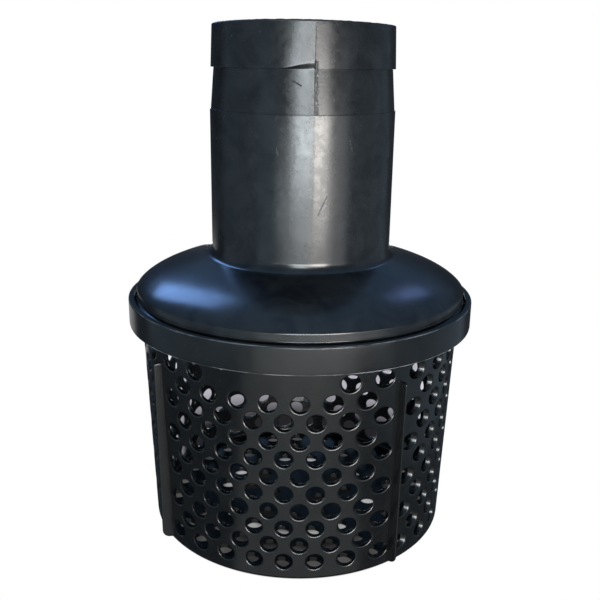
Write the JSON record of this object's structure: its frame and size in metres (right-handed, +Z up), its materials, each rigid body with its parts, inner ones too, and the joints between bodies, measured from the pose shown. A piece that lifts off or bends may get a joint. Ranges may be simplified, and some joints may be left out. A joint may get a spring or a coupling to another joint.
{
  "type": "foot valve",
  "caption": "Foot valve with a perforated strainer basket, a wide bell with a plain hose tail, and a spring-loaded lift disc inside.",
  "frame": {"origin": "middle of the strainer's flat base, on the valve's axis", "axes": "+Z up along the valve's axis towards the mouth of the hose tail; -Y faces the side with the blank field in its top row of holes; the four ribs are at 45 degrees between the X and Y axes"},
  "size_m": [0.222, 0.222, 0.3195],
  "materials": {
    "black_pp": "satin black polypropylene, lightly scuffed",
    "black_pp_basket": "satin black polypropylene",
    "rubber": "matt black nitrile rubber",
    "stainless": "plain stainless steel",
    "brass": "turned brass"
  },
  "bodies": {
    "housing": {"upper_body": "black_pp", "strainer_basket": "black_pp_basket", "seat_plate": "black_pp", "body_gasket": "rubber", "seat_screws": "stainless", "screw_washers": "stainless", "guide_bush": "brass", "closing_spring": "stainless"},
    "poppet": {"valve_stem": "stainless", "clamp_plate": "stainless", "disc_rubber": "rubber", "valve_disc": "black_pp", "top_washer": "stainless", "top_nut": "stainless", "spring_cup": "stainless", "lift_stop_sleeve": "brass", "lower_washer": "stainless", "lock_nut": "stainless"}
  },
  "joints": [
    {"name": "disc_lift", "type": "slide", "parent": "housing", "child": "poppet", "axis": [0, 0, 1], "range_m": [0, 0.022], "stiffness_N_per_m": 350, "springref_m": -0.028, "deforming": ["closing_spring"]}
  ]
}
